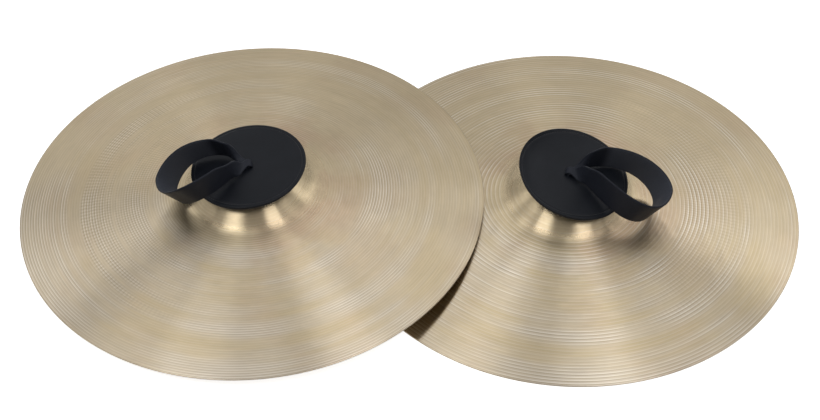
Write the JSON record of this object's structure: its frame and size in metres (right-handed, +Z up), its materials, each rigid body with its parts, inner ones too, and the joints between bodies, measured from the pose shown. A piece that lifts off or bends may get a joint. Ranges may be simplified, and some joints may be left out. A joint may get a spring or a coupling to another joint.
{
  "type": "hand cymbals",
  "caption": "Orchestral hand cymbals of turned bronze with round leather pads and knotted leather hand straps, laid down leaning together.",
  "frame": {"origin": "on the floor, midway between the two cymbals, under the middle of the pair's box", "axes": "+X from the upper cymbal to the lower one, along the line of their centres; +Y away from the side they are seen from; +Z up"},
  "size_m": [0.8538, 0.508, 0.0984],
  "materials": {
    "bronze": "turned bell bronze with fine lathe grooves, satin",
    "pad_leather": "smooth black leather, sewn edge",
    "pad_felt": "black wool felt",
    "strap_leather": "smooth black strap leather"
  },
  "bodies": {
    "lower_cymbal": {"lower_cymbal": "bronze"},
    "lower_strap_swivel": {"lower_pad_leather": "pad_leather", "lower_pad_felt": "pad_felt", "lower_strap_tail_1": "strap_leather", "lower_strap_tail_2": "strap_leather", "lower_strap_tail_3": "strap_leather", "lower_strap_tail_4": "strap_leather"},
    "lower_strap_loop": {"lower_strap_loop": "strap_leather"},
    "upper_cymbal": {"upper_cymbal": "bronze"},
    "upper_strap_swivel": {"upper_pad_leather": "pad_leather", "upper_pad_felt": "pad_felt", "upper_strap_tail_1": "strap_leather", "upper_strap_tail_2": "strap_leather", "upper_strap_tail_3": "strap_leather", "upper_strap_tail_4": "strap_leather"},
    "upper_strap_loop": {"upper_strap_loop": "strap_leather"}
  },
  "joints": [
    {"name": "lower_strap_turn", "type": "hinge", "parent": "lower_cymbal", "child": "lower_strap_swivel", "pos_m": [0.173, 0, 0.0596], "axis": [0, 0, 1], "continuous": true},
    {"name": "lower_loop_fold", "type": "hinge", "parent": "lower_strap_swivel", "child": "lower_strap_loop", "pos_m": [0.173, 0, 0.0596], "axis": [-0.225, -0.9744, 0], "range_deg": [0, 115]},
    {"name": "upper_lift", "type": "slide", "parent": "lower_cymbal", "child": "upper_cymbal", "axis": [0, 0, 1], "range_m": [0, 0.25]},
    {"name": "upper_strap_turn", "type": "hinge", "parent": "upper_cymbal", "child": "upper_strap_swivel", "pos_m": [-0.173, 0, 0.01131], "axis": [-0.0445, 0, 0.999], "continuous": true},
    {"name": "upper_loop_fold", "type": "hinge", "parent": "upper_strap_swivel", "child": "upper_strap_loop", "pos_m": [-0.17565, 0, 0.07085], "axis": [-0.1269, 0.9919, -0.0057], "range_deg": [0, 115]}
  ]
}
